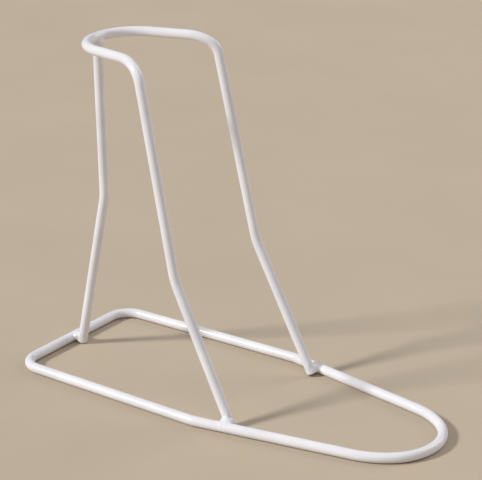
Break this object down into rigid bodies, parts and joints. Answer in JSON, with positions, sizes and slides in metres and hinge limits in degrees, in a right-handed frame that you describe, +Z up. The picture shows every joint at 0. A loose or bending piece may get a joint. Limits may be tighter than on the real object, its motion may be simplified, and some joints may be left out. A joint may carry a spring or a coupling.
{
  "type": "sock aid",
  "caption": "Free-standing coated rod frame that holds a sock or stocking open on a U-shaped hoop above a flat base loop, so that a foot can be pushed in.",
  "frame": {"origin": "on the floor, under the middle of the base loop", "axes": "+X from the rear bar to the rounded toe, +Y to the left side, +Z up"},
  "size_m": [0.4214, 0.1754, 0.3236],
  "materials": {
    "white_coating": "smooth glossy white plastic, melted on over the welded frame",
    "steel_rod": "bright drawn mild steel rod, under the coating",
    "weld_metal": "wire-brushed weld bead, under the coating"
  },
  "bodies": {
    "root": {"base_loop": "steel_rod", "hoop_and_legs": "steel_rod", "rear_post": "steel_rod", "base_coating": "white_coating", "hoop_coating": "white_coating", "post_coating": "white_coating", "loop_butt_weld": "weld_metal", "left_leg_weld": "weld_metal", "right_leg_weld": "weld_metal", "post_top_weld": "weld_metal", "post_foot_weld": "weld_metal"}
  },
  "joints": []
}
